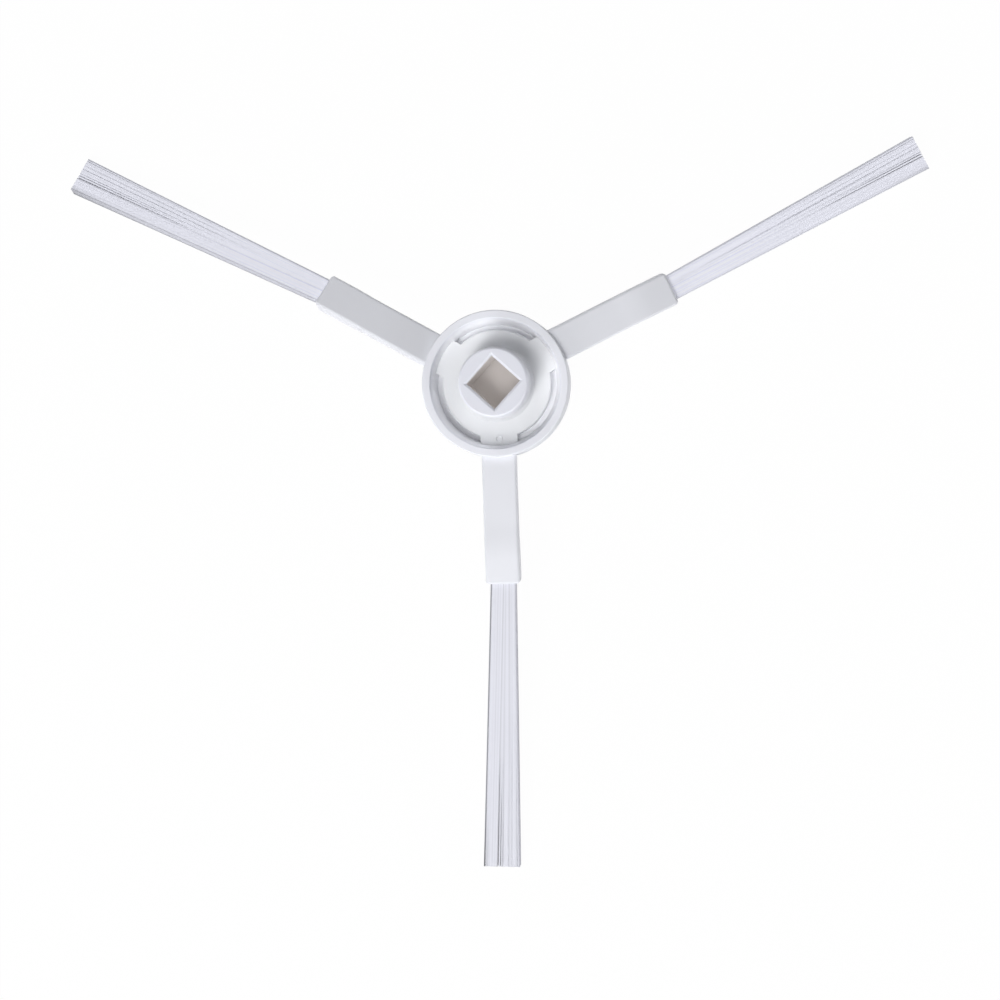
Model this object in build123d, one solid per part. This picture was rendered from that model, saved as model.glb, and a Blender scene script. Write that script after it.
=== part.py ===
from build123d import *
import math
import os

# Side brush of a robot vacuum: a hard drive hub, a soft arm spider moulded round it,
# and three bristle tufts welded into the ends of the arms. Millimetres and degrees.
# +Z points to the robot. The origin is the middle of the drive socket's mouth, on the
# end face of the boss, and X and Y are square to the socket's flats.

# Drive socket and boss of the hub
SOCKET_FLATS = 6.7
SOCKET_DEPTH = 9.0
SOCKET_LEAD_IN = 0.4
BOSS_DIAMETER = 12.3
BOSS_HEIGHT = 7.6
BOSS_EDGE_BREAK = 0.3
BOSS_ROOT_BREAK = 0.6

# Flange with its lugs, neck and floor-side cap of the hub
FLANGE_DIAMETER = 19.3
FLANGE_THICKNESS = 1.8
FLANGE_EDGE_BREAK = 0.2
LUG_WIDTH = 6.6
LUG_KEY_DEPTH = 0.6
NECK_DIAMETER = 17.0
NECK_HEIGHT = 1.2
CAP_DIAMETER = 23.8
CAP_EDGE_HEIGHT = 0.6
CAP_BEVEL_WIDTH = 2.4
CAP_BEVEL_HEIGHT = 1.1

# Ring of the spider
RIM_DIAMETER = 26.0
RIM_WIDTH = 1.4
RIM_BELOW_BOSS = 4.2
RIM_OUTER_BREAK = 0.4
RIM_INNER_BREAK = 0.3
CUP_FLOOR_DIAMETER = 21.1
RING_BASE_BREAK = 0.8

# Arms of the spider: a strap, a short ramp and the thicker ferrule that holds a tuft
FIRST_ARM_ANGLE = -45.9
ARM_WIDTH = 6.1
ARM_EDGE_RADIUS = 0.5
STRAP_BELOW_RIM = 1.2
STRAP_ROOT_SHARE = 0.7
STRAP_LENGTH = 13.6
STRAP_THICKNESS = 2.8
STRAP_SLOPE = 6.0
RAMP_LENGTH = 2.0
FERRULE_LENGTH = 6.7
FERRULE_THICKNESS = 3.8
FERRULE_SLOPE = 13.0
MOUTH_EDGE_BREAK = 0.4

# Tufts: the welded root block fills the ferrule's pocket up to the weld face
POCKET_WIDTH = 4.7
POCKET_THICKNESS = 2.0
POCKET_DEPTH = 5.5
WELD_RECESS = 0.4
FILAMENT_DIAMETER = 0.25
FILAMENT_SIDES = 6
FILAMENT_ROWS = 5
FILAMENTS_PER_ROW = 15
FILAMENT_ANCHOR = 0.5
FILAMENT_CLEARANCE = 0.1
TUFT_LENGTH = 51.3
TIP_WIDTH = 6.7
TIP_THICKNESS = 2.6

# Set and twist that each soft arm, and the tuft on it, has taken, in degrees. A set turns it
# counterclockwise as seen from above, and a twist leans its top to its clockwise side.
ARM_SETS = [-1.1, -5.3, -1.1]
ARM_TWISTS = [0.0, 8.0, 12.0]
TUFT_SETS = [-2.7, 2.2, 3.0]

# Levels and radii that the hub and the spider share
FLANGE_TOP = -BOSS_HEIGHT
LEDGE_TOP = FLANGE_TOP - FLANGE_THICKNESS
RING_BASE = LEDGE_TOP - NECK_HEIGHT
RIM_TOP = -RIM_BELOW_BOSS
RIM_RADIUS = RIM_DIAMETER / 2
NECK_RADIUS = NECK_DIAMETER / 2
CUP_FLOOR_RADIUS = CUP_FLOOR_DIAMETER / 2
LUG_END_RADIUS = CUP_FLOOR_RADIUS + LUG_KEY_DEPTH
ARM_ANGLES = [FIRST_ARM_ANGLE + index * 360 / len(ARM_SETS) for index in range(len(ARM_SETS))]


def eased(face, corner, width):
    """Break the corner of a flat outline that lies at the given point."""
    return chamfer(face.vertices().sort_by_distance(corner)[0], width)


def turned(outline):
    """Revolve a half section, drawn as radius and level, about the drive axis."""
    return revolve(Plane.XZ * outline, Axis.Z)


def hub_outline():
    boss_radius = BOSS_DIAMETER / 2
    boss_edge = (boss_radius, 0)
    boss_root = (boss_radius, FLANGE_TOP)
    flange_edge = (FLANGE_DIAMETER / 2, FLANGE_TOP)
    cap_radius = CAP_DIAMETER / 2
    cap_edge = (cap_radius, RING_BASE - CAP_EDGE_HEIGHT)
    cap_bottom = cap_edge[1] - CAP_BEVEL_HEIGHT
    sides = Polyline(
        (0, cap_bottom),
        (0, 0),
        boss_edge,
        boss_root,
        flange_edge,
        (flange_edge[0], LEDGE_TOP),
        (NECK_RADIUS, LEDGE_TOP),
        (NECK_RADIUS, RING_BASE),
        (cap_radius, RING_BASE),
        cap_edge,
        (cap_radius - CAP_BEVEL_WIDTH, cap_bottom),
        close=True,
    )
    face = make_face(sides)
    face = eased(face, boss_edge, BOSS_EDGE_BREAK)
    face = eased(face, flange_edge, FLANGE_EDGE_BREAK)
    return eased(face, boss_root, BOSS_ROOT_BREAK)


def lug(angle):
    """One lug, from the drive axis to the end that is keyed into the ring."""
    slab = Pos(LUG_END_RADIUS / 2, 0) * Rectangle(LUG_END_RADIUS, LUG_WIDTH)
    plan = slab & Circle(LUG_END_RADIUS)
    return Rot(0, 0, angle) * Pos(0, 0, LEDGE_TOP) * extrude(plan, FLANGE_THICKNESS)


def drive_socket():
    mouth = Rectangle(SOCKET_FLATS + 2 * SOCKET_LEAD_IN, SOCKET_FLATS + 2 * SOCKET_LEAD_IN)
    lead_in = extrude(mouth, -SOCKET_LEAD_IN, taper=45)
    section = Rectangle(SOCKET_FLATS, SOCKET_FLATS)
    return lead_in + extrude(section, -SOCKET_DEPTH)


def drive_hub():
    lugs = [lug(angle) for angle in ARM_ANGLES]
    return turned(hub_outline()) + lugs - drive_socket()


def ring_outline():
    rim_outer = (RIM_RADIUS, RIM_TOP)
    rim_inner = (RIM_RADIUS - RIM_WIDTH, RIM_TOP)
    base_outer = (RIM_RADIUS, RING_BASE)
    sides = Polyline(
        (NECK_RADIUS, LEDGE_TOP),
        (CUP_FLOOR_RADIUS, LEDGE_TOP),
        rim_inner,
        rim_outer,
        base_outer,
        (NECK_RADIUS, RING_BASE),
        close=True,
    )
    face = make_face(sides)
    face = eased(face, rim_outer, RIM_OUTER_BREAK)
    face = eased(face, rim_inner, RIM_INNER_BREAK)
    return eased(face, base_outer, RING_BASE_BREAK)


def outward_step(slope):
    """Unit step outwards along a falling slope, in the arm's side view of radius and level."""
    fall = math.radians(slope)
    return Vector(math.cos(fall), -math.sin(fall))


STRAP_STEP = outward_step(STRAP_SLOPE)
FERRULE_STEP = outward_step(FERRULE_SLOPE)
STRAP_START = Vector(RIM_RADIUS, RIM_TOP - STRAP_BELOW_RIM - STRAP_THICKNESS / 2)
STRAP_END = STRAP_START + STRAP_STEP * STRAP_LENGTH
FERRULE_START = STRAP_END + FERRULE_STEP * RAMP_LENGTH
FERRULE_END = FERRULE_START + FERRULE_STEP * FERRULE_LENGTH


def arm_section(point, step, thickness, twist):
    """Twisted cross section of an arm at a point of its side view, square to the given step."""
    plane = Plane(origin=(point.X, 0, point.Y), x_dir=(0, 1, 0), z_dir=(step.X, 0, step.Y))
    return plane * RectangleRounded(ARM_WIDTH, thickness, ARM_EDGE_RADIUS, rotation=twist)


def arm(twist):
    """One arm in its own frame: the strap from inside the ring's wall, the ramp and the ferrule."""
    root_depth = RIM_WIDTH * STRAP_ROOT_SHARE
    root = STRAP_START - STRAP_STEP * root_depth
    strap = extrude(arm_section(root, STRAP_STEP, STRAP_THICKNESS, twist), root_depth + STRAP_LENGTH)
    ferrule_section = arm_section(FERRULE_START, FERRULE_STEP, FERRULE_THICKNESS, twist)
    strap_section = arm_section(STRAP_END, STRAP_STEP, STRAP_THICKNESS, twist)
    ramp = loft([strap_section, ferrule_section], ruled=True)
    ferrule = extrude(ferrule_section, FERRULE_LENGTH)
    ferrule = chamfer(ferrule.faces().sort_by(Axis.X)[-1].edges(), MOUTH_EDGE_BREAK)
    return strap + ramp + ferrule


def arm_frame(angle, sideways_set):
    """Frame of an arm: X along its direction from the drive axis, turned by its set about its root."""
    root = Pos(RIM_RADIUS, 0, 0)
    return Rot(0, 0, angle) * root * Rot(0, 0, sideways_set) * root.inverse()


ARM_FRAMES = [arm_frame(angle, sideways_set) for angle, sideways_set in zip(ARM_ANGLES, ARM_SETS)]


def mouth(twist):
    """Middle of a ferrule's mouth in the arm's frame: X out along the tuft, Y across, Z out of its top."""
    return Pos(FERRULE_END.X, 0, FERRULE_END.Y) * Rot(0, FERRULE_SLOPE, 0) * Rot(twist, 0, 0)


def pocket(recess):
    """The ferrule's pocket in the frame of its mouth, from its bottom up to the recess."""
    section = Rectangle(POCKET_WIDTH, POCKET_THICKNESS)
    return extrude(Plane.YZ.offset(-POCKET_DEPTH) * section, POCKET_DEPTH - recess)


def arm_spider():
    arms = [frame * arm(twist) for frame, twist in zip(ARM_FRAMES, ARM_TWISTS)]
    lug_keys = [lug(angle) for angle in ARM_ANGLES]
    tuft_pockets = [frame * mouth(twist) * pocket(0) for frame, twist in zip(ARM_FRAMES, ARM_TWISTS)]
    return turned(ring_outline()) + arms - lug_keys - tuft_pockets


def filament(root, tip):
    axis = tip - root
    start = root - axis.normalized() * FILAMENT_ANCHOR
    section = RegularPolygon(FILAMENT_DIAMETER / 2, FILAMENT_SIDES)
    return extrude(Plane(origin=start, z_dir=axis) * section, axis.length + FILAMENT_ANCHOR)


def filament_places():
    """Places of the filaments as shares of the tuft's section, in staggered rows."""
    column_step = 2 / (FILAMENTS_PER_ROW - 1)
    places = []
    for row in range(FILAMENT_ROWS):
        level = 2 * row / (FILAMENT_ROWS - 1) - 1
        stagger = row % 2
        for column in range(FILAMENTS_PER_ROW - stagger):
            places.append((column_step * (column + stagger / 2) - 1, level))
    return places


def bristle_tuft(sideways_set, twist):
    """One tuft in the frame of its ferrule's mouth: the root block and the filaments fanned from it."""
    rim = FILAMENT_CLEARANCE + FILAMENT_DIAMETER / 2
    root_half_width = POCKET_WIDTH / 2 - rim
    root_half_thickness = POCKET_THICKNESS / 2 - rim
    tip_half_width = (TIP_WIDTH - FILAMENT_DIAMETER) / 2
    tip_half_thickness = (TIP_THICKNESS - FILAMENT_DIAMETER) / 2
    weld = Pos(-WELD_RECESS, 0, 0)
    lean = Rot(-twist, 0, 0) * Rot(0, 0, sideways_set) * Rot(twist, 0, 0)
    end = weld * lean * Pos(TUFT_LENGTH + WELD_RECESS, 0, 0)
    filaments = []
    for across, upwards in filament_places():
        root = weld * Pos(0, root_half_width * across, root_half_thickness * upwards)
        tip = end * Pos(0, tip_half_width * across, tip_half_thickness * upwards)
        filaments.append(filament(root.position, tip.position))
    return pocket(WELD_RECESS) + filaments


def main():
    nodes = {"drive_hub": drive_hub(), "arm_spider": arm_spider()}
    for index, frame in enumerate(ARM_FRAMES):
        tuft = bristle_tuft(TUFT_SETS[index], ARM_TWISTS[index])
        nodes[f"bristle_tuft_{index + 1}"] = frame * mouth(ARM_TWISTS[index]) * tuft
    os.makedirs("parts", exist_ok=True)
    for name, solid in nodes.items():
        export_step(solid, f"parts/{name}.step")


if __name__ == "__main__":
    main()
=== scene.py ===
import math
import random

import bpy
from mathutils import Matrix, Vector

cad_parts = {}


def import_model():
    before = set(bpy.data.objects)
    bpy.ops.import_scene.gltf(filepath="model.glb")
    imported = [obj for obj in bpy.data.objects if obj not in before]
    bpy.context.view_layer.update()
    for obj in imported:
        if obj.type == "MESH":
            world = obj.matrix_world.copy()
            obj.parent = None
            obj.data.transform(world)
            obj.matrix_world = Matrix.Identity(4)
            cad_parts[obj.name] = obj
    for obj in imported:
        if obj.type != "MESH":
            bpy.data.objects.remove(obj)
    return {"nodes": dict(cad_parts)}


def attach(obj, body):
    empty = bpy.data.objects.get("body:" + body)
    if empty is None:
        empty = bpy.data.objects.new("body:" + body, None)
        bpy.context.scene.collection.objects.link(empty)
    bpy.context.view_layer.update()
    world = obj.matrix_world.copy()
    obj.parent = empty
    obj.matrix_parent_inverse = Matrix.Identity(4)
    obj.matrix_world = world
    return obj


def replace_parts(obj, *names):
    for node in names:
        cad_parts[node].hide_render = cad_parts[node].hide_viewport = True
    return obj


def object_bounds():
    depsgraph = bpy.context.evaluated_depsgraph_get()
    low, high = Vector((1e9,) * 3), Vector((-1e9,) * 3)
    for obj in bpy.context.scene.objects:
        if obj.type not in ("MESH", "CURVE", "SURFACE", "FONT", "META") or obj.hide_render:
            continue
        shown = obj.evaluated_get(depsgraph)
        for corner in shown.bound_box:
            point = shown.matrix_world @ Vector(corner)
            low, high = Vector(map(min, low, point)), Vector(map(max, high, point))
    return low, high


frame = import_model()
CAD_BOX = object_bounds()

# Construction sizes that the looks follow, in metres and degrees
MM = 0.001
RING_RADIUS = 13.0 * MM
FIRST_ARM_ANGLE = -45.9
ARM_SETS = [-1.1, -5.3, -1.1]
ARM_TWISTS = [0.0, 8.0, 12.0]
TUFT_SETS = [-2.7, 2.2, 3.0]
STRAP_ROOT_LEVEL = -6.8 * MM
STRAP_LENGTH = 13.6 * MM
STRAP_SLOPE = math.radians(6)
STRAP_THICKNESS = 2.8 * MM
RAMP_LENGTH = 2.0 * MM
FERRULE_LENGTH = 6.7 * MM
FERRULE_SLOPE = math.radians(13)
FERRULE_THICKNESS = 3.8 * MM
LUG_TOP = -7.6 * MM
SOCKET_REACH = 4.9 * MM
SOCKET_LEAD_IN = 0.4 * MM
SOCKET_DEPTH = 9.0 * MM
RIM_TOP = -4.2 * MM
RIM_WIDTH = 1.4 * MM
RIM_OUTER_BREAK = 0.4 * MM
RIM_INNER_BREAK = 0.3 * MM

# Where the ramp of an arm begins and ends, and the mouth of its ferrule, from the drive axis
RAMP_START = RING_RADIUS + STRAP_LENGTH * math.cos(STRAP_SLOPE)
RAMP_START_LEVEL = STRAP_ROOT_LEVEL - STRAP_LENGTH * math.sin(STRAP_SLOPE)
RAMP_END = RAMP_START + RAMP_LENGTH * math.cos(FERRULE_SLOPE)
RAMP_SKEW = FERRULE_THICKNESS / 2 * math.sin(FERRULE_SLOPE)
MOUTH_RADIUS = RAMP_END + FERRULE_LENGTH * math.cos(FERRULE_SLOPE)
MOUTH_LEVEL = RAMP_START_LEVEL - (RAMP_LENGTH + FERRULE_LENGTH) * math.sin(FERRULE_SLOPE)

# Bristle tufts: the weld in the ferrule, the filaments and how they part towards the tip
POCKET_WIDTH = 4.7 * MM
POCKET_THICKNESS = 2.0 * MM
POCKET_DEPTH = 5.5 * MM
WELD_RECESS = 0.4 * MM
WELD_CLEARANCE = 0.02 * MM
WELD_EDGE_ROUND = 0.15 * MM
TUFT_LENGTH = 51.3 * MM
TIP_WIDTH = 6.7 * MM
TIP_THICKNESS = 2.6 * MM
FILAMENT_RADIUS = 0.16 * MM
FILAMENT_SIDES = 6
FILAMENT_SPANS = 6
CUT_ANGLE = math.radians(75)
FILAMENT_ANCHOR = 0.5 * MM
FILAMENT_ROWS = 11
FILAMENTS_PER_ROW = 44
ROOT_MARGIN = 0.1 * MM
TIP_SIDE_MARGIN = 0.12 * MM
TIP_FACE_MARGIN = 0.07 * MM
STRAY = 0.015 * MM
LIFT = 0.002 * MM
CUT_STRAY = 0.04 * MM
BOW = 0.03 * MM

# Brightness of the filaments, much of it painted shade. Per tuft, set so that the three come out alike
# under the lamps: the first tuft, which the lamps light most, is painted darker. It also varies from one
# filament to the next at random. Streaks of filaments and the filaments down in the partings are painted
# shade for the shaded gaps between locks. The outermost filaments are painted shade along the tuft's
# edges, and the tips of the smooth side are darker towards the tip. Few streaks are deep.
TUFT_PAINTED_SHADES = [0.65, 0.975, 1.015]
TINT_SWING = 0.04
STREAKS = 40
STREAK_DEPTH = 0.16
STREAK_RARITY = 3
SMOOTH_EDGE_PAINTED_SHADE = 0.32
PARTED_EDGE_PAINTED_SHADE = 0.12
OUTER_SHARE = 0.04
SMOOTH_TIP_DARKENING = 0.2
SMOOTH_TIP_SHARE = 0.16
SMOOTH_TIP_START = 0.75
PARTING_PAINTED_SHADE = 0.75

# How far the shading of a filament leans from its own roundness to the side of the tuft that it
# lies on, because nylon lets light through to its neighbours
BUNDLE_SHADING = 0.95
BUNDLE_SIDE_POWER = 40

# Where the tuft parts: share of the width at the root and at the tip, where along it the
# parting begins to open, and its full width, which it reaches after a run
PARTINGS = [
    (0.53, 0.385, 0.35, 0.42 * MM),
    (0.57, 0.455, 0.45, 0.34 * MM),
    (0.61, 0.525, 0.20, 0.20 * MM),
    (0.69, 0.690, 0.05, 0.22 * MM),
    (0.88, 0.790, 0.20, 0.22 * MM),
    (0.95, 0.955, 0.15, 0.20 * MM),
]
PARTING_REACH = 0.04
PARTING_RUN = 0.45

# Side of each tuft that stays smooth: -1 where its share counts from the counterclockwise side
TUFT_SIDES = [1, 1, -1]

# Edges and ramps of the mouldings
MERGE_DISTANCE = 0.001 * MM
FLAT_ANGLE = math.radians(0.5)
EDGE_ANGLE = math.radians(30)
EDGE_ROUND = 0.06 * MM
EDGE_SEGMENTS = 2
RAMP_SOFTNESS = 2.0 * MM
RAMP_CUT_STEP = 0.4 * MM
RAMP_SAMPLES = 13
CRISP_OUTER_BREAK = 0.15 * MM
CRISP_INNER_BREAK = 0.12 * MM

# Camera: long lens above the hub, turned with the photograph and leaning to its right and foot
CAMERA_YAW = 41.50
CAMERA_LEAN_RIGHT = 5.18
CAMERA_LEAN_DOWN = 2.17
CAMERA_DISTANCE = 2.0
CAMERA_AIM_RIGHT = 1.26 * MM
CAMERA_AIM_UP = -20.78 * MM
VIEW_WIDTH = 176.17 * MM
SENSOR_WIDTH = 36.0
CAMERA_CLIP = 100

# Round mark of an ejector pin on one lug, and how far up its top face looks at least
PIN_MARK_RADIUS = 0.7 * MM
PIN_MARK_WALL = 0.25 * MM
PIN_MARK_HEIGHT = 0.3 * MM
PIN_MARK_SUNK = 0.03 * MM
PIN_MARK_FROM_AXIS = 9.7 * MM
PIN_MARK_SIDES = 32
PIN_MARK_HOLLOW = PIN_MARK_HEIGHT * 0.8
PIN_MARK_EDGE_ROUND = PIN_MARK_HEIGHT / 5
FACING_UP = 0.9

# Colours, as they render under plain light
BOSS_WHITE = (0.81, 0.82, 0.895)
# Painted light: the disc is paler than the boss, to lift the shade that the ring and the boss give it
DISC_WHITE_PAINTED_PALER = (0.85, 0.86, 0.88)
# Painted light and shade in the drive socket: paler, warm walls, and a warm, darker floor that is painted
# paler towards the side of the key lamps, where the socket's wall shades it
SOCKET_WALL_PAINTED_LIGHT = (0.93, 0.90, 0.885)
SOCKET_PAINTED_SHADE_PALE = (0.98, 0.935, 0.91)
SOCKET_PAINTED_SHADE_DEEP = (0.56, 0.524, 0.506)
SOCKET_PAINTED_LIGHT_AZIMUTH = 240
# Painted light: the rubber inside the cup is paler, to lift the shade in it
CUP_WHITE_PAINTED_LIGHT = (0.94, 0.945, 0.975)
RIM_WHITE = (0.86, 0.87, 0.93)
# Painted shade: the arms are darker than the rim of the same rubber
ARM_WHITE_PAINTED_SHADE = (0.775, 0.785, 0.835)
TONE_STEP = 0.4 * MM
NYLON_WHITE = (0.88, 0.89, 0.985)
# Painted light: the nylon glows a little, for the light that comes through its filaments
NYLON_PAINTED_LIGHT = (0.89, 0.90, 1.0)
NYLON_PAINTED_LIGHT_STRENGTH = 0.15
FLOOR_WHITE = (0.95, 0.95, 0.95)
FLOOR_GLOW = 0.98

# Skins of the mouldings and of the nylon: how far the colour mottles, how rough the gloss is, how fine
# and how deep the grain is, and the noise that draws them
HUB_SKIN = {"Mottle": 0.05, "Gloss": 0.42, "Grain": 3200}
HUB_GRAIN_DEPTH = 0.004 * MM
ARM_SKIN = {"Mottle": 0.04, "Gloss": 0.5, "Grain": 2400}
ARM_GRAIN_DEPTH = 0.002 * MM
NYLON_SKIN = {"Mottle": 0.03, "Gloss": 0.4, "Grain": 1500}
NYLON_GRAIN_DEPTH = 0.001 * MM
MOTTLE_SCALE = 160
MOTTLE_DETAIL = 3
GRAIN_DETAIL = 2
NOISE_MEAN = 0.5
GLOSS_SWING = 0.12

# Soft studio lamps: direction in the picture counterclockwise from its right, height, and brightness
# as the share of plain daylight that each gives a surface that faces it
LAMP_DISTANCE = 1.0
LAMP_SIZE = 0.35
LAMPS = [
    ("key_top", 240, 68, 0.346),
    ("key_high", 240, 48, 0.260),
    ("key_low", 240, 16, 0.350),
    ("front_high", 270, 48, 0.079),
    ("front_right_low", 330, 16, 0.170),
    ("right_low", 0, 16, 0.130),
    ("right_top", 30, 68, 0.064),
    ("back_low", 120, 16, 0.245),
]

FLOOR_SIZE = 4.0


def pick(piece):
    """Make one piece the only selected one, and the active one."""
    bpy.ops.object.select_all(action="DESELECT")
    piece.select_set(True)
    bpy.context.view_layer.objects.active = piece


def shape(piece):
    """Open one piece in edit mode with everything on it selected."""
    pick(piece)
    bpy.ops.object.mode_set(mode="EDIT")
    bpy.ops.mesh.select_all(action="SELECT")


def shaped():
    bpy.ops.object.mode_set(mode="OBJECT")


def turn(degrees, axis):
    return Matrix.Rotation(math.radians(degrees), 4, axis)


def arm_frame(index):
    """Frame of an arm: X along it from the drive axis, turned by its set about its root on the ring."""
    angle = FIRST_ARM_ANGLE + index * 360 / len(ARM_SETS)
    root = Matrix.Translation((RING_RADIUS, 0, 0))
    return turn(angle, "Z") @ root @ turn(ARM_SETS[index], "Z") @ root.inverted()


def mouth_frame(index):
    """Frame at the middle of a ferrule's mouth: X out along the ferrule, Y across, Z out of its top."""
    mouth = Matrix.Translation((MOUTH_RADIUS, 0, MOUTH_LEVEL)) @ Matrix.Rotation(FERRULE_SLOPE, 4, "Y")
    return arm_frame(index) @ mouth @ turn(ARM_TWISTS[index], "X")


def moulded_copy(node, name):
    """A copy of a construction node with its triangles merged and its flat faces whole."""
    piece = bpy.data.objects.new(name, frame["nodes"][node].data.copy())
    bpy.context.scene.collection.objects.link(piece)
    pick(piece)
    bpy.ops.mesh.customdata_custom_splitnormals_clear()
    shape(piece)
    bpy.ops.mesh.remove_doubles(threshold=MERGE_DISTANCE)
    bpy.ops.mesh.dissolve_limited(angle_limit=FLAT_ANGLE)
    shaped()
    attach(piece, "root")
    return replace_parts(piece, node)


def round_edges(piece, width):
    """Round the edges of a moulding a little and keep its flat faces flat in the shading."""
    pick(piece)
    bevel = piece.modifiers.new("edge_round", "BEVEL")
    bevel.width = width
    bevel.segments = EDGE_SEGMENTS
    bevel.limit_method = "ANGLE"
    bevel.angle_limit = EDGE_ANGLE
    bevel.use_clamp_overlap = False
    bpy.ops.object.modifier_apply(modifier=bevel.name)
    bpy.ops.object.shade_smooth_by_angle(angle=EDGE_ANGLE)
    weights = piece.modifiers.new("flat_faces", "WEIGHTED_NORMAL")
    weights.keep_sharp = True
    bpy.ops.object.modifier_apply(modifier=weights.name)


def arm_middle(along):
    """Level of an arm's middle line at a distance from the drive axis."""
    slope = STRAP_SLOPE if along < RAMP_START else FERRULE_SLOPE
    return RAMP_START_LEVEL - (along - RAMP_START) * math.tan(slope)


def ramp_share(along):
    share = (along - RAMP_START) / (RAMP_END - RAMP_START)
    return min(max(share, 0), 1)


def arm_half_height(along):
    return (STRAP_THICKNESS + (FERRULE_THICKNESS - STRAP_THICKNESS) * ramp_share(along)) / 2


def arm_foot(spot):
    """How far along an arm the section through a spot, square to the arm, meets its middle line."""
    slope = STRAP_SLOPE + (FERRULE_SLOPE - STRAP_SLOPE) * ramp_share(spot.x)
    return spot.x - (spot.z - arm_middle(spot.x)) * math.sin(2 * slope) / 2


def softened(profile, along):
    """Running mean of a profile, which turns its corners into soft bends."""
    offsets = [RAMP_SOFTNESS * (2 * step / (RAMP_SAMPLES - 1) - 1) for step in range(RAMP_SAMPLES)]
    return sum(profile(along + offset) for offset in offsets) / RAMP_SAMPLES


def soften_ramp(piece, index):
    """Cut an arm across its ramp and bend the cuts to a soft rise from strap to ferrule."""
    place = arm_frame(index)
    start = RAMP_START - RAMP_SOFTNESS - RAMP_SKEW
    cuts = math.ceil((RAMP_END + RAMP_SOFTNESS + RAMP_SKEW - start) / RAMP_CUT_STEP)
    for cut in range(cuts + 1):
        shape(piece)
        middle = place @ Vector((start + cut * RAMP_CUT_STEP, 0, 0))
        bpy.ops.mesh.bisect(plane_co=middle, plane_no=place.to_3x3().col[0], threshold=MERGE_DISTANCE)
        shaped()
    end = start + cuts * RAMP_CUT_STEP
    back = place.inverted()
    untwist = turn(-ARM_TWISTS[index], "X")
    for vertex in piece.data.vertices:
        spot = back @ vertex.co
        if start < spot.x < end:
            foot = arm_foot(spot)
            section = untwist @ Vector((0, spot.y, spot.z - arm_middle(foot)))
            section.z *= softened(arm_half_height, foot) / arm_half_height(foot)
            section = untwist.inverted() @ section
            vertex.co = place @ Vector((spot.x, section.y, section.z + softened(arm_middle, foot)))


def crisp_rim(piece):
    """Draw in the broken edges of the rim, so that its top shows as a flat band between crisp edges."""
    corners = [
        (RING_RADIUS, RIM_OUTER_BREAK, CRISP_OUTER_BREAK),
        (RING_RADIUS - RIM_WIDTH, RIM_INNER_BREAK, CRISP_INNER_BREAK),
    ]
    for vertex in piece.data.vertices:
        for radius, drawn, crisp in corners:
            outward = vertex.co.xy.length - radius
            upward = vertex.co.z - RIM_TOP
            if max(abs(outward), abs(upward)) < drawn + MERGE_DISTANCE:
                ring = vertex.co.xy.normalized() * (radius + outward * crisp / drawn)
                vertex.co = (ring.x, ring.y, RIM_TOP + upward * crisp / drawn)
                break


def hub_moulding():
    piece = moulded_copy("drive_hub", "hub_moulding")
    round_edges(piece, EDGE_ROUND)
    return piece


def spider_moulding():
    piece = moulded_copy("arm_spider", "spider_moulding")
    for index in range(len(ARM_SETS)):
        soften_ramp(piece, index)
    crisp_rim(piece)
    round_edges(piece, EDGE_ROUND)
    return piece


def pin_mark():
    """A low round mark on one lug: a short cylinder with its top inset and pressed down to a ring."""
    place = turn(FIRST_ARM_ANGLE, "Z") @ Vector((PIN_MARK_FROM_AXIS, 0, LUG_TOP))
    depth = PIN_MARK_HEIGHT + PIN_MARK_SUNK
    place.z += (PIN_MARK_HEIGHT - PIN_MARK_SUNK) / 2
    bpy.ops.object.select_all(action="DESELECT")
    bpy.ops.mesh.primitive_cylinder_add(vertices=PIN_MARK_SIDES, radius=PIN_MARK_RADIUS, depth=depth)
    piece = bpy.context.object
    piece.name = "pin_mark"
    shape(piece)
    bpy.ops.mesh.select_all(action="DESELECT")
    bpy.ops.object.mode_set(mode="OBJECT")
    for face in piece.data.polygons:
        face.select = face.normal.z > FACING_UP
    bpy.ops.object.mode_set(mode="EDIT")
    bpy.ops.mesh.select_mode(type="FACE")
    bpy.ops.mesh.inset(thickness=PIN_MARK_WALL)
    bpy.ops.mesh.extrude_region_move(TRANSFORM_OT_translate={"value": (0, 0, -PIN_MARK_HOLLOW)})
    shaped()
    piece.data.transform(Matrix.Translation(place))
    round_edges(piece, PIN_MARK_EDGE_ROUND)
    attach(piece, "root")
    return piece


def filament_blank():
    """One straight filament along Z, a circle extruded span by span, to be copied and laid."""
    bpy.ops.object.select_all(action="DESELECT")
    bpy.ops.mesh.primitive_circle_add(vertices=FILAMENT_SIDES, radius=FILAMENT_RADIUS, fill_type="NGON")
    blank = bpy.context.object
    shape(blank)
    for span in range(FILAMENT_SPANS):
        step = TUFT_LENGTH / FILAMENT_SPANS
        bpy.ops.mesh.extrude_region_move(TRANSFORM_OT_translate={"value": (0, 0, step)})
    bpy.ops.mesh.select_all(action="SELECT")
    bpy.ops.mesh.normals_make_consistent(inside=False)
    shaped()
    blank.data.transform(turn(180 / FILAMENT_SIDES, "Z"))
    bpy.ops.object.shade_smooth_by_angle(angle=CUT_ANGLE)
    return blank


def smooth_step(share):
    share = min(max(share, 0), 1)
    return share * share * (3 - 2 * share)


def spread(share):
    """Shares of the width that a filament has at the root and at the tip, from its mean share."""
    stops = [(0, 0)] + [(root, tip) for root, tip, _, _ in PARTINGS] + [(1, 1)]
    for (root, tip), (next_root, next_tip) in zip(stops, stops[1:]):
        start = (root + tip) / 2
        end = (next_root + next_tip) / 2
        if share <= end:
            part = (share - start) / (end - start)
            return root + (next_root - root) * part, tip + (next_tip - tip) * part
    return 1.0, 1.0


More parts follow.
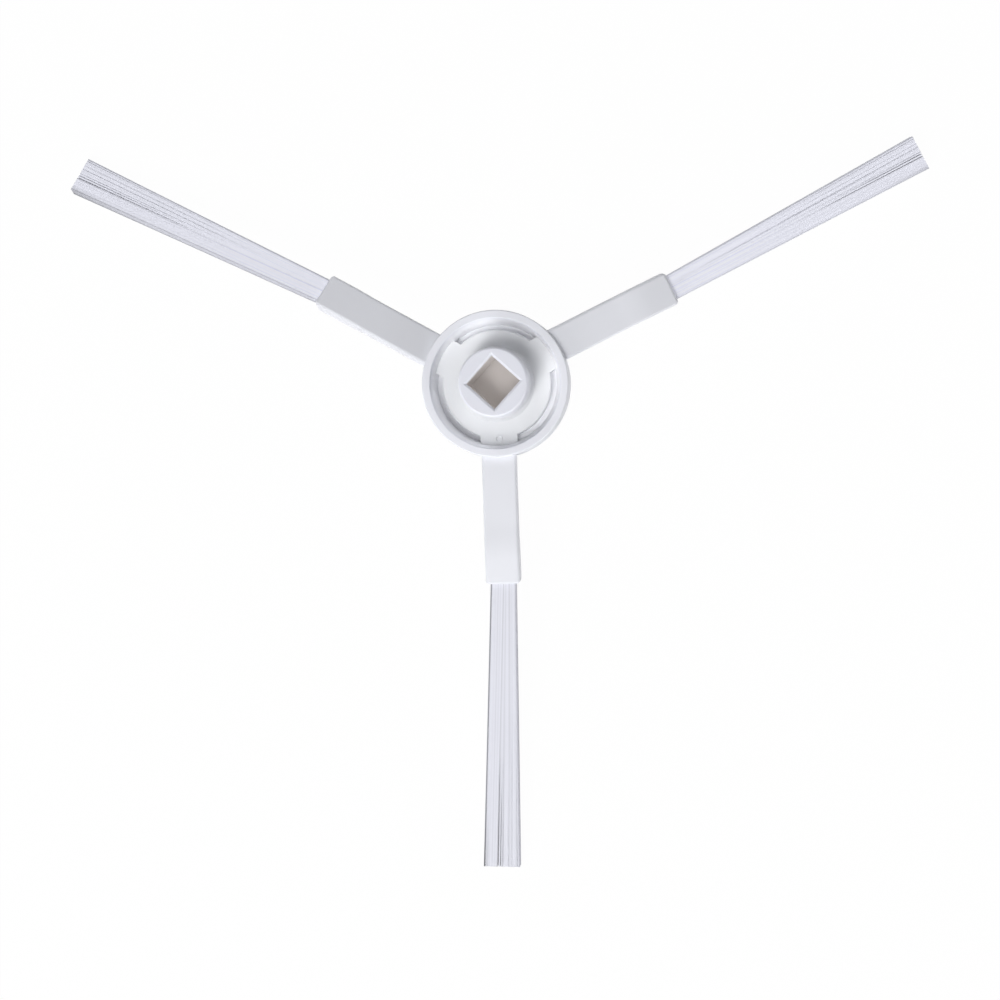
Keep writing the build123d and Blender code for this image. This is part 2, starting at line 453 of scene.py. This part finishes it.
def parted(share, along, level):
    """Sideways push, and painted shade for the shade down in a gap, that the partings, open in the upper
    half, give a spot on a filament.
    """
    push = 0
    shade = 0
    for root, tip, opening, width in PARTINGS:
        away = share - (root + tip) / 2
        side = 1 if away > 0 else -1
        reach = max(0, 1 - abs(away) / PARTING_REACH)
        reach *= smooth_step((along - opening) / PARTING_RUN)
        push += side * width / 2 * reach * smooth_step(level + 1)
        shade = max(shade, PARTING_PAINTED_SHADE * reach * smooth_step(1 - level) * smooth_step(level + 1))
    return push, shade


def lay_filament(blank, place, share, level, side, tone, draw):
    """Copy the blank along its own line in a tuft: share runs across the tuft and level through it."""
    strand = blank.copy()
    strand.data = blank.data.copy()
    bpy.context.scene.collection.objects.link(strand)
    root_half_width = POCKET_WIDTH / 2 - ROOT_MARGIN - FILAMENT_RADIUS
    root_half_height = POCKET_THICKNESS / 2 - ROOT_MARGIN - FILAMENT_RADIUS
    tip_half_width = TIP_WIDTH / 2 - TIP_SIDE_MARGIN - FILAMENT_RADIUS
    tip_half_height = TIP_THICKNESS / 2 - TIP_FACE_MARGIN - FILAMENT_RADIUS
    root_share, tip_share = spread(share)
    root = Vector((-FILAMENT_ANCHOR, root_half_width * (2 * root_share - 1), root_half_height * level))
    reach = TUFT_LENGTH + WELD_RECESS
    tip = Vector((reach, tip_half_width * (2 * tip_share - 1), tip_half_height * level))
    tip += Vector((draw.uniform(-CUT_STRAY, 0), draw.uniform(-STRAY, STRAY), 0))
    lift = draw.uniform(-LIFT, LIFT)
    bow = draw.uniform(-BOW, BOW)
    own = tone - TINT_SWING * draw.random()
    # Painted shade on the outermost filaments along both edges of the tuft
    own -= SMOOTH_EDGE_PAINTED_SHADE * smooth_step(1 - share / OUTER_SHARE)
    own -= PARTED_EDGE_PAINTED_SHADE * smooth_step(1 - (1 - share) / OUTER_SHARE)
    # Darker towards the tips on the smooth side
    tip_darkening = SMOOTH_TIP_DARKENING * smooth_step((SMOOTH_TIP_SHARE - share) / SMOOTH_TIP_SHARE * 2)
    tints = []
    for vertex in strand.data.vertices:
        along = vertex.co.z / TUFT_LENGTH
        push, shade = parted(share, along, level)
        middle = root.lerp(tip, along)
        middle.y += bow * math.sin(math.pi * along) + push
        middle.y *= side
        middle.z += lift
        vertex.co = place @ (middle + Vector((0, vertex.co.x, vertex.co.y)))
        tints.append(own - shade - tip_darkening * smooth_step((along - SMOOTH_TIP_START) / (1 - SMOOTH_TIP_START)))
    mark_strand(strand, tints, place, bundle_side(share, level, side))
    return strand


def bundle_side(share, level, side):
    """Direction that the tuft's own surface faces nearest to a filament, in the frame of the tuft."""
    across = side * (2 * share - 1)
    outward = Vector((0, across ** BUNDLE_SIDE_POWER * math.copysign(1, across), level))
    return outward.normalized() if outward.length else Vector((0, 0, 1))


def mark_strand(strand, tints, place, outward):
    """Write the brightness of each vertex and the side of the tuft that each face but the ends lies on."""
    tint = strand.data.attributes.new("tint", "FLOAT", "POINT")
    tint.data.foreach_set("value", tints)
    strand.data.update()
    outward = place.to_3x3() @ outward
    sides = []
    for face in strand.data.polygons:
        cut_end = abs(face.normal.dot(place.col[0].to_3d())) > math.cos(CUT_ANGLE)
        sides.extend(face.normal if cut_end else outward)
    facing = strand.data.attributes.new("bundle_side", "FLOAT_VECTOR", "FACE")
    facing.data.foreach_set("vector", sides)


def weld_block(place):
    """The melted roots of a tuft, a block with rounded edges that fills the ferrule's pocket."""
    bpy.ops.object.select_all(action="DESELECT")
    bpy.ops.mesh.primitive_cube_add(size=1)
    block = bpy.context.object
    depth = POCKET_DEPTH - WELD_RECESS
    size = Vector((depth, POCKET_WIDTH, POCKET_THICKNESS)) - Vector((1, 1, 1)) * 2 * WELD_CLEARANCE
    shape(block)
    bpy.ops.transform.resize(value=size)
    bpy.ops.mesh.bevel(offset=WELD_EDGE_ROUND, segments=EDGE_SEGMENTS, affect="EDGES")
    shaped()
    block.data.transform(place @ Matrix.Translation((-WELD_RECESS - depth / 2, 0, 0)))
    tints = [1 - TINT_SWING / 2] * len(block.data.vertices)
    mark_strand(block, tints, place, Vector((0, 0, 1)))
    return block


def bristle_tuft(blank, index):
    """One tuft: staggered rows of filaments that fan out from the weld, and the welded root block."""
    draw = random.Random(index)
    mouth = mouth_frame(index)
    twist = turn(ARM_TWISTS[index], "X")
    lean = twist.inverted() @ turn(TUFT_SETS[index], "Z") @ twist
    place = mouth @ Matrix.Translation((-WELD_RECESS, 0, 0)) @ lean
    side = TUFT_SIDES[index]
    strands = [weld_block(mouth)]
    # Painted shade: darker streaks of filaments for faint shaded gaps between locks, of random depth
    streaks = [STREAK_DEPTH * draw.random() ** STREAK_RARITY for streak in range(STREAKS + 1)]
    for row in range(FILAMENT_ROWS):
        level = 2 * row / (FILAMENT_ROWS - 1) - 1
        for column in range(FILAMENTS_PER_ROW - row % 2):
            share = (column + row % 2 / 2) / (FILAMENTS_PER_ROW - 1)
            tone = TUFT_PAINTED_SHADES[index] - streaks[int(share * STREAKS)]
            strands.append(lay_filament(blank, place, share, level, side, tone, draw))
    bpy.ops.object.select_all(action="DESELECT")
    for strand in strands:
        strand.select_set(True)
    bpy.context.view_layer.objects.active = strands[0]
    bpy.ops.object.join()
    tuft = bpy.context.object
    tuft.name = f"bristles_{index + 1}"
    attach(tuft, "root")
    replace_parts(tuft, f"bristle_tuft_{index + 1}")
    return tuft


def add_node(tree, kind, inputs=None, **settings):
    """A shader node with its settings, and its inputs set to values or linked to other nodes' outputs."""
    node = tree.nodes.new(kind)
    for name, value in settings.items():
        setattr(node, name, value)
    for name, value in (inputs or {}).items():
        if isinstance(value, bpy.types.NodeSocket):
            tree.links.new(value, node.inputs[name])
        else:
            node.inputs[name].default_value = value
    return node


def reckon(tree, operation, *values):
    """Result of a sum on numbers and other nodes' outputs."""
    return add_node(tree, "ShaderNodeMath", dict(enumerate(values)), operation=operation).outputs[0]


def moulded_skin():
    """Shader group of a moulded surface: slow mottling of its colour, uneven gloss and a fine grain."""
    group = bpy.data.node_groups.new("moulded_skin", "ShaderNodeTree")
    asks = {"Vector": "Vector", "Colour": "Color", "Mottle": "Float", "Gloss": "Float", "Grain": "Float"}
    gives = {"Colour": "Color", "Roughness": "Float", "Height": "Float"}
    for direction, sockets in (("INPUT", asks), ("OUTPUT", gives)):
        for name, kind in sockets.items():
            group.interface.new_socket(name, in_out=direction, socket_type=f"NodeSocket{kind}")
    given = add_node(group, "NodeGroupInput").outputs
    slow = {"Vector": given["Vector"], "Scale": MOTTLE_SCALE, "Detail": MOTTLE_DETAIL}
    slow = add_node(group, "ShaderNodeTexNoise", slow).outputs["Fac"]
    fine = {"Vector": given["Vector"], "Scale": given["Grain"], "Detail": GRAIN_DETAIL}
    fine = add_node(group, "ShaderNodeTexNoise", fine).outputs["Fac"]
    tone = reckon(group, "MULTIPLY_ADD", reckon(group, "SUBTRACT", slow, NOISE_MEAN), given["Mottle"], 1)
    colour = {"Value": tone, "Color": given["Colour"]}
    colour = add_node(group, "ShaderNodeHueSaturation", colour).outputs[0]
    uneven = reckon(group, "SUBTRACT", fine, NOISE_MEAN)
    gloss = reckon(group, "MULTIPLY_ADD", uneven, GLOSS_SWING, given["Gloss"])
    add_node(group, "NodeGroupOutput", {"Colour": colour, "Roughness": gloss, "Height": fine})
    return group


def distance_from_axis(tree, where):
    flat = add_node(tree, "ShaderNodeVectorMath", {0: where, 1: (1, 1, 0)}, operation="MULTIPLY")
    return add_node(tree, "ShaderNodeVectorMath", {0: flat.outputs[0]}, operation="LENGTH").outputs["Value"]


def rise(tree, value, start, end):
    """0 up to the start, 1 from the end on, and a straight rise between."""
    span = {"Value": value, "From Min": start, "From Max": end}
    return add_node(tree, "ShaderNodeMapRange", span).outputs[0]


def blend(tree, share, first, second):
    """Colour that goes from the first to the second with the share."""
    colours = {6: first, 7: second}
    for place, colour in colours.items():
        if isinstance(colour, tuple):
            colours[place] = (*colour, 1)
    return add_node(tree, "ShaderNodeMix", {0: share, **colours}, data_type="RGBA").outputs[2]


def blank_material(name):
    material = bpy.data.materials.new(name)
    material.use_nodes = True
    material.node_tree.nodes.clear()
    return material, material.node_tree


def finish_shader(tree, skin, bump_depth, facing=None, **values):
    """Principled shader on a moulded skin, with the skin's grain as a shallow bump."""
    grain = {"Height": skin.outputs["Height"], "Distance": bump_depth, "Strength": 1}
    if facing:
        grain["Normal"] = facing
    bump = add_node(tree, "ShaderNodeBump", grain)
    shader = add_node(tree, "ShaderNodeBsdfPrincipled", {
        "Base Color": skin.outputs["Colour"],
        "Roughness": skin.outputs["Roughness"],
        "Normal": bump.outputs[0],
    })
    for name, value in values.items():
        shader.inputs[name.replace("_", " ")].default_value = value
    add_node(tree, "ShaderNodeOutputMaterial", {"Surface": shader.outputs[0]})


def hub_plastic(group):
    """Satin white moulded plastic, with painted light and shade: the disc paler than the boss, lifting the
    shade that the ring and boss give it, and in the drive socket paler warm walls and a warm, darker floor,
    painted paler towards the key lamps where the wall shades it.
    """
    material, tree = blank_material("hub_plastic")
    where = add_node(tree, "ShaderNodeTexCoord").outputs["Object"]
    level = add_node(tree, "ShaderNodeSeparateXYZ", {0: where}).outputs["Z"]
    # Paler low down on the disc than on the boss: painted light for the disc's shade
    white = blend(tree, rise(tree, level, LUG_TOP, 0), DISC_WHITE_PAINTED_PALER, BOSS_WHITE)
    inside = reckon(tree, "LESS_THAN", distance_from_axis(tree, where), SOCKET_REACH)
    below_mouth = rise(tree, level, -SOCKET_LEAD_IN, -SOCKET_LEAD_IN - TONE_STEP)
    above_floor = rise(tree, level, -SOCKET_DEPTH - TONE_STEP, -SOCKET_DEPTH - TONE_STEP / 2)
    socket = reckon(tree, "MULTIPLY", reckon(tree, "MULTIPLY", inside, below_mouth), above_floor)
    # Painted shade on the socket's floor, lifted towards the key lamps, where the wall casts its shadow
    away = turn(CAMERA_YAW + SOCKET_PAINTED_LIGHT_AZIMUTH, "Z") @ Vector((1, 0, 0))
    across = add_node(tree, "ShaderNodeVectorMath", {0: where, 1: away}, operation="DOT_PRODUCT")
    paler = rise(tree, across.outputs["Value"], -SOCKET_REACH, SOCKET_REACH)
    painted_floor_shade = blend(tree, paler, SOCKET_PAINTED_SHADE_DEEP, SOCKET_PAINTED_SHADE_PALE)
    near_floor = rise(tree, level, TONE_STEP - SOCKET_DEPTH, TONE_STEP / 2 - SOCKET_DEPTH)
    base = blend(tree, socket, white, blend(tree, near_floor, SOCKET_WALL_PAINTED_LIGHT, painted_floor_shade))
    look = {"Vector": where, "Colour": base, **HUB_SKIN}
    skin = add_node(tree, "ShaderNodeGroup", look, node_tree=group)
    finish_shader(tree, skin, HUB_GRAIN_DEPTH)
    return material


def arm_rubber(group):
    """Matte white soft rubber with an even skin, painted paler inside the cup as painted light that lifts
    its shade, and painted darker on the arms as painted shade.
    """
    material, tree = blank_material("arm_rubber")
    where = add_node(tree, "ShaderNodeTexCoord").outputs["Object"]
    radius = distance_from_axis(tree, where)
    rim_inner = RING_RADIUS - RIM_WIDTH
    ring = blend(tree, rise(tree, radius, rim_inner - TONE_STEP, rim_inner), CUP_WHITE_PAINTED_LIGHT, RIM_WHITE)
    base = blend(tree, rise(tree, radius, RING_RADIUS - TONE_STEP / 4, RING_RADIUS), ring, ARM_WHITE_PAINTED_SHADE)
    look = {"Vector": where, "Colour": base, **ARM_SKIN}
    skin = add_node(tree, "ShaderNodeGroup", look, node_tree=group)
    finish_shader(tree, skin, ARM_GRAIN_DEPTH)
    return material


def bundle_normal(tree):
    """Normal between a filament's own and that of the tuft's surface beside it."""
    own = add_node(tree, "ShaderNodeNewGeometry").outputs["Normal"]
    bundle = add_node(tree, "ShaderNodeAttribute", attribute_name="bundle_side").outputs["Vector"]
    mixed = {0: BUNDLE_SHADING, 4: own, 5: bundle}
    mixed = add_node(tree, "ShaderNodeMix", mixed, data_type="VECTOR").outputs[1]
    return add_node(tree, "ShaderNodeVectorMath", {0: mixed}, operation="NORMALIZE").outputs[0]


def bristle_nylon(group):
    """Bluish white nylon, each filament a little lighter or darker than the next, with a faint painted glow
    for the light that comes through the filaments.
    """
    material, tree = blank_material("bristle_nylon")
    where = add_node(tree, "ShaderNodeTexCoord").outputs["Object"]
    tint = add_node(tree, "ShaderNodeAttribute", attribute_name="tint").outputs["Fac"]
    base = add_node(tree, "ShaderNodeHueSaturation", {"Value": tint, "Color": (*NYLON_WHITE, 1)})
    look = {"Vector": where, "Colour": base.outputs[0], **NYLON_SKIN}
    skin = add_node(tree, "ShaderNodeGroup", look, node_tree=group)
    glow = {"Emission_Color": (*NYLON_PAINTED_LIGHT, 1), "Emission_Strength": NYLON_PAINTED_LIGHT_STRENGTH}
    finish_shader(tree, skin, NYLON_GRAIN_DEPTH, bundle_normal(tree), **glow)
    return material


def dress(piece, material):
    piece.data.materials.clear()
    piece.data.materials.append(material)


def seen_directly(tree):
    """1 for what the camera sees, straight, mirrored or through glass, and 0 for light on other pieces."""
    path = add_node(tree, "ShaderNodeLightPath").outputs
    direct = reckon(tree, "MAXIMUM", path["Is Camera Ray"], path["Is Glossy Ray"])
    return reckon(tree, "MAXIMUM", direct, path["Is Transmission Ray"])


def floor():
    """White floor that glows to the camera, keeps a faint shadow and is clear from below."""
    bpy.ops.object.select_all(action="DESELECT")
    bpy.ops.mesh.primitive_plane_add(size=FLOOR_SIZE, location=(0, 0, CAD_BOX[0].z))
    plane = bpy.context.object
    plane.name = "floor"
    bpy.ops.object.transform_apply()
    material, tree = blank_material("white_floor")
    share = reckon(tree, "MULTIPLY", seen_directly(tree), FLOOR_GLOW)
    paint = add_node(tree, "ShaderNodeBsdfDiffuse", {"Color": (*FLOOR_WHITE, 1)}).outputs[0]
    glow = add_node(tree, "ShaderNodeEmission", {"Strength": 1}).outputs[0]
    top = add_node(tree, "ShaderNodeMixShader", {0: share, 1: paint, 2: glow}).outputs[0]
    clear = add_node(tree, "ShaderNodeBsdfTransparent").outputs[0]
    under = add_node(tree, "ShaderNodeNewGeometry").outputs["Backfacing"]
    sides = add_node(tree, "ShaderNodeMixShader", {0: under, 1: top, 2: clear})
    add_node(tree, "ShaderNodeOutputMaterial", {"Surface": sides.outputs[0]})
    dress(plane, material)


def camera():
    right = turn(CAMERA_YAW, "Z") @ Vector((1, 0, 0))
    up = turn(CAMERA_YAW, "Z") @ Vector((0, 1, 0))
    lean_right = math.tan(math.radians(CAMERA_LEAN_RIGHT))
    lean_down = math.tan(math.radians(CAMERA_LEAN_DOWN))
    back = (Vector((0, 0, 1)) + right * lean_right - up * lean_down).normalized()
    right = (right - back * right.dot(back)).normalized()
    up = back.cross(right)
    data = bpy.data.cameras.new("camera")
    data.sensor_width = SENSOR_WIDTH
    data.lens = SENSOR_WIDTH * CAMERA_DISTANCE / VIEW_WIDTH
    data.clip_end = CAMERA_CLIP
    eye = bpy.data.objects.new("camera", data)
    bpy.context.scene.collection.objects.link(eye)
    place = Matrix((right, up, back)).transposed().to_4x4()
    place.translation = right * CAMERA_AIM_RIGHT + up * CAMERA_AIM_UP + back * CAMERA_DISTANCE
    eye.matrix_world = place
    bpy.context.scene.camera = eye


def lamp(name, azimuth, height, brightness):
    """A round soft lamp that faces the object."""
    data = bpy.data.lights.new(name, "AREA")
    data.shape = "DISK"
    data.size = LAMP_SIZE
    data.energy = brightness * (math.pi * LAMP_DISTANCE) ** 2
    away = turn(CAMERA_YAW + azimuth, "Z") @ turn(-height, "Y") @ Vector((1, 0, 0))
    piece = bpy.data.objects.new(name, data)
    piece.location = away * LAMP_DISTANCE
    piece.rotation_euler = away.to_track_quat("Z", "Y").to_euler()
    bpy.context.scene.collection.objects.link(piece)


def world():
    """White surroundings to the camera and in reflections that give the object no light of their own."""
    sky = bpy.data.worlds.new("studio")
    sky.use_nodes = True
    tree = sky.node_tree
    tree.nodes.clear()
    air = {"Color": (1, 1, 1, 1), "Strength": seen_directly(tree)}
    air = add_node(tree, "ShaderNodeBackground", air).outputs[0]
    add_node(tree, "ShaderNodeOutputWorld", {"Surface": air})
    bpy.context.scene.world = sky


hub = hub_moulding()
spider = spider_moulding()
mark = pin_mark()
blank = filament_blank()
tufts = [bristle_tuft(blank, index) for index in range(len(TUFT_SETS))]
bpy.data.objects.remove(blank)
skin = moulded_skin()
plastic = hub_plastic(skin)
dress(hub, plastic)
dress(mark, plastic)
dress(spider, arm_rubber(skin))
nylon = bristle_nylon(skin)
for tuft in tufts:
    dress(tuft, nylon)
floor()
camera()
world()
for settings in LAMPS:
    lamp(*settings)
bpy.context.scene.view_settings.view_transform = "Standard"
